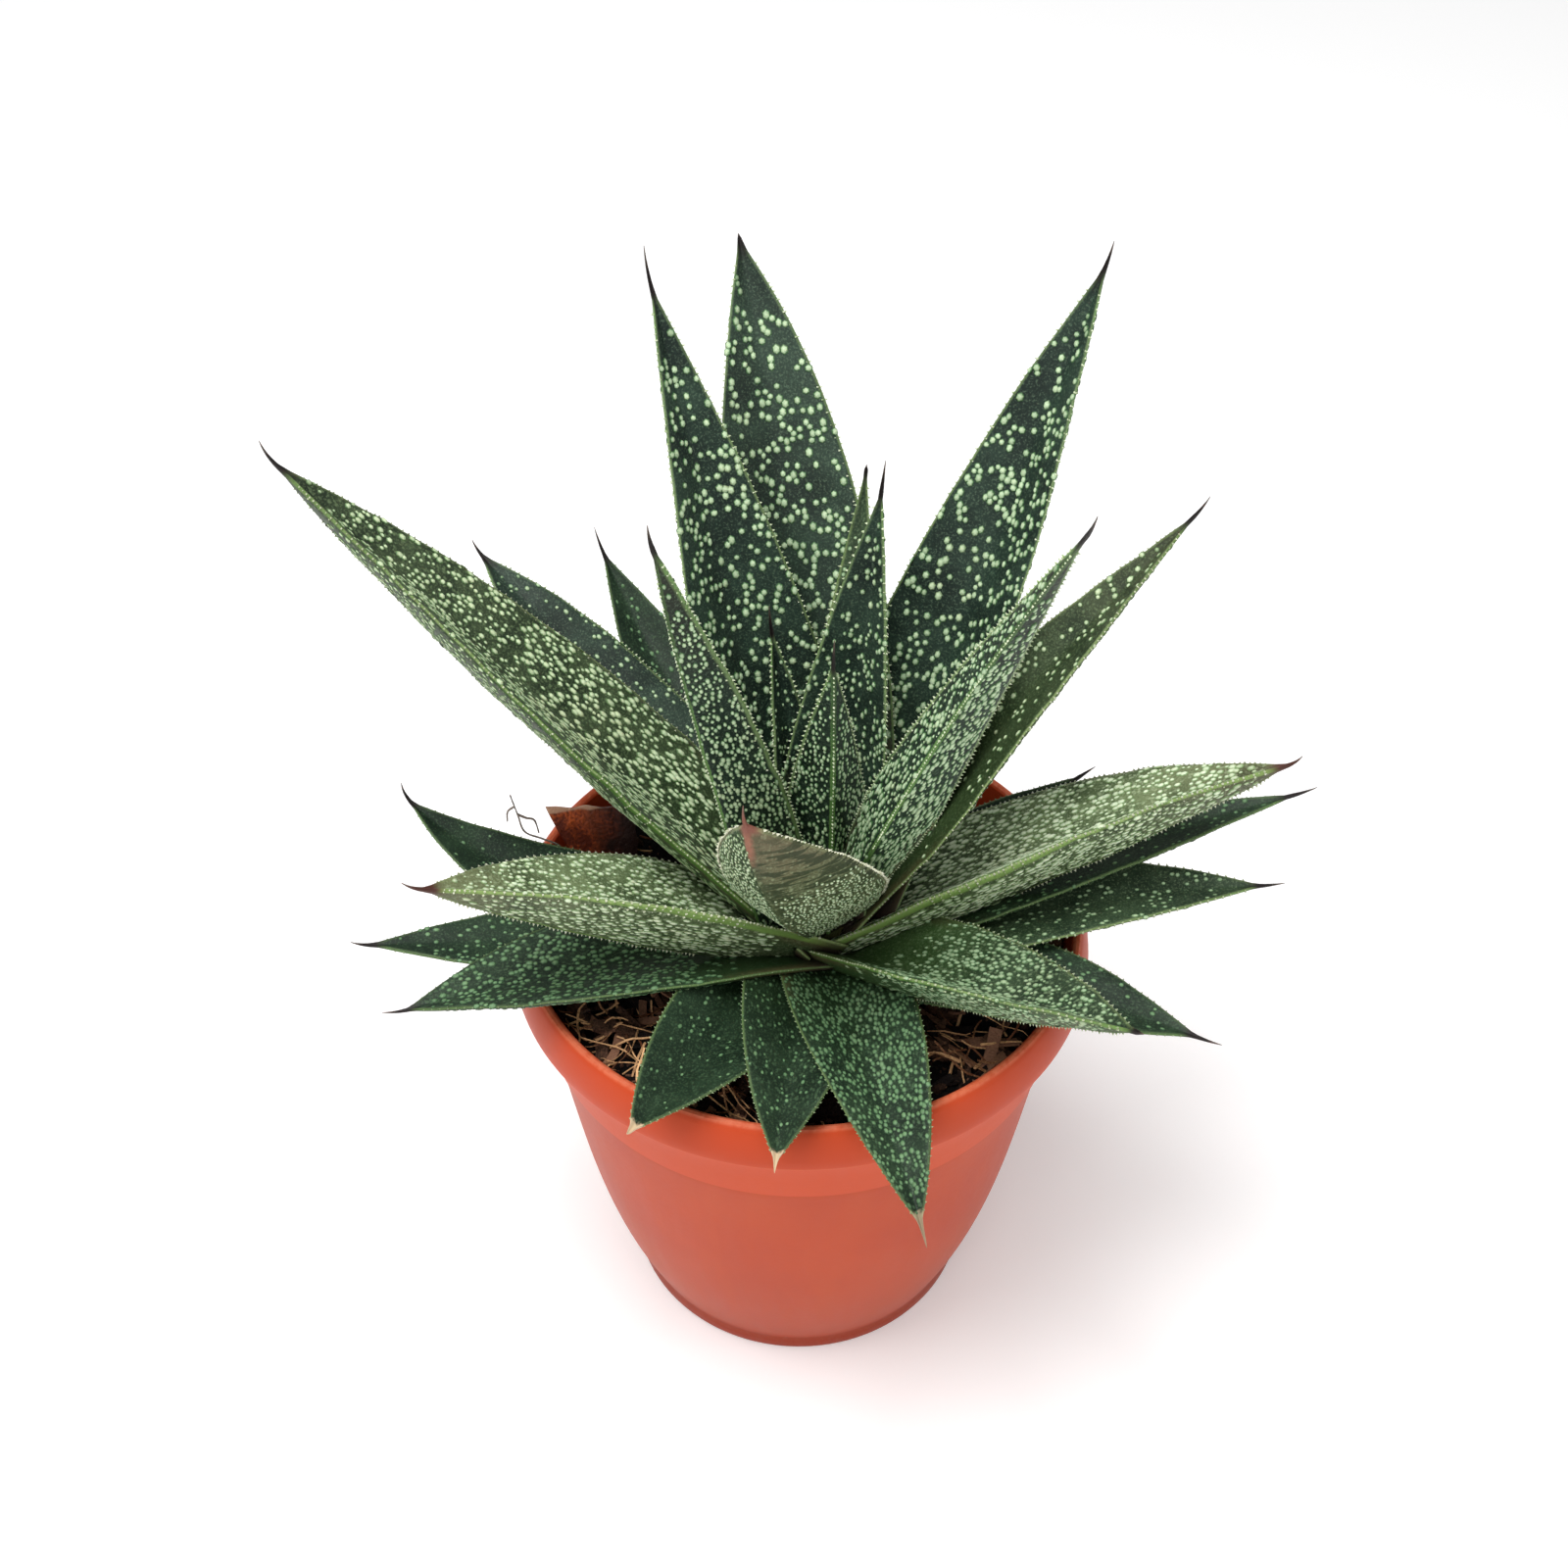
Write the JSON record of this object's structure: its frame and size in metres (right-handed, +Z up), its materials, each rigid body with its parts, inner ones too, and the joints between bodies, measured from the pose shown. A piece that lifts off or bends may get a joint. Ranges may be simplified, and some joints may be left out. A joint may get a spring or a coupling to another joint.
{
  "type": "potted aloe hybrid",
  "caption": "Potted succulent: a rosette of thick, pointed, keeled leaves on a short stem, set in bark mix in a round tapered pot with a broad rim band.",
  "frame": {"origin": "middle of the pot's foot, on the surface it stands on", "axes": "+Z up along the pot's axis; -Y towards the side seen in the picture; +X to the right in it"},
  "size_m": [0.2046, 0.153, 0.2423],
  "materials": {
    "pot_plastic": "satin",
    "potting_mix": "matte",
    "bark": "matte",
    "dry_twig": "matte",
    "stem_tissue": "matte",
    "leaf_green": "satin",
    "leaf_pale": "satin",
    "leaf_deep": "satin"
  },
  "bodies": {
    "root": {"pot": "pot_plastic", "stem": "stem_tissue", "leaf_heart_small": "leaf_green", "leaf_heart_front": "leaf_green", "leaf_heart_tall": "leaf_green", "leaf_upright_narrow": "leaf_green", "leaf_upright_left": "leaf_green", "leaf_steep_right": "leaf_pale", "leaf_upright_right": "leaf_green", "leaf_upright_back": "leaf_green", "leaf_short_front": "leaf_pale", "leaf_leaning_right": "leaf_green", "leaf_narrow_back": "leaf_green", "leaf_leaning_left": "leaf_pale", "leaf_back_left_steep": "leaf_green", "leaf_back_left_low": "leaf_green", "leaf_right_broad": "leaf_pale", "leaf_left_broad": "leaf_pale", "leaf_front_right": "leaf_deep", "leaf_front_left": "leaf_deep", "leaf_drooping_right": "leaf_deep", "leaf_right_narrow": "leaf_deep", "leaf_right_low": "leaf_deep", "leaf_left_upturned": "leaf_deep", "leaf_right_back": "leaf_deep", "leaf_left_low": "leaf_deep", "leaf_drooping_middle": "leaf_deep", "leaf_drooping_left": "leaf_deep", "leaf_lowest_right": "leaf_deep", "leaf_rear_right": "leaf_deep", "leaf_rear_middle": "leaf_deep", "leaf_rear_left": "leaf_deep", "bark_chip": "bark", "dried_sprig": "dry_twig", "potting_mix": "potting_mix"}
  },
  "joints": []
}
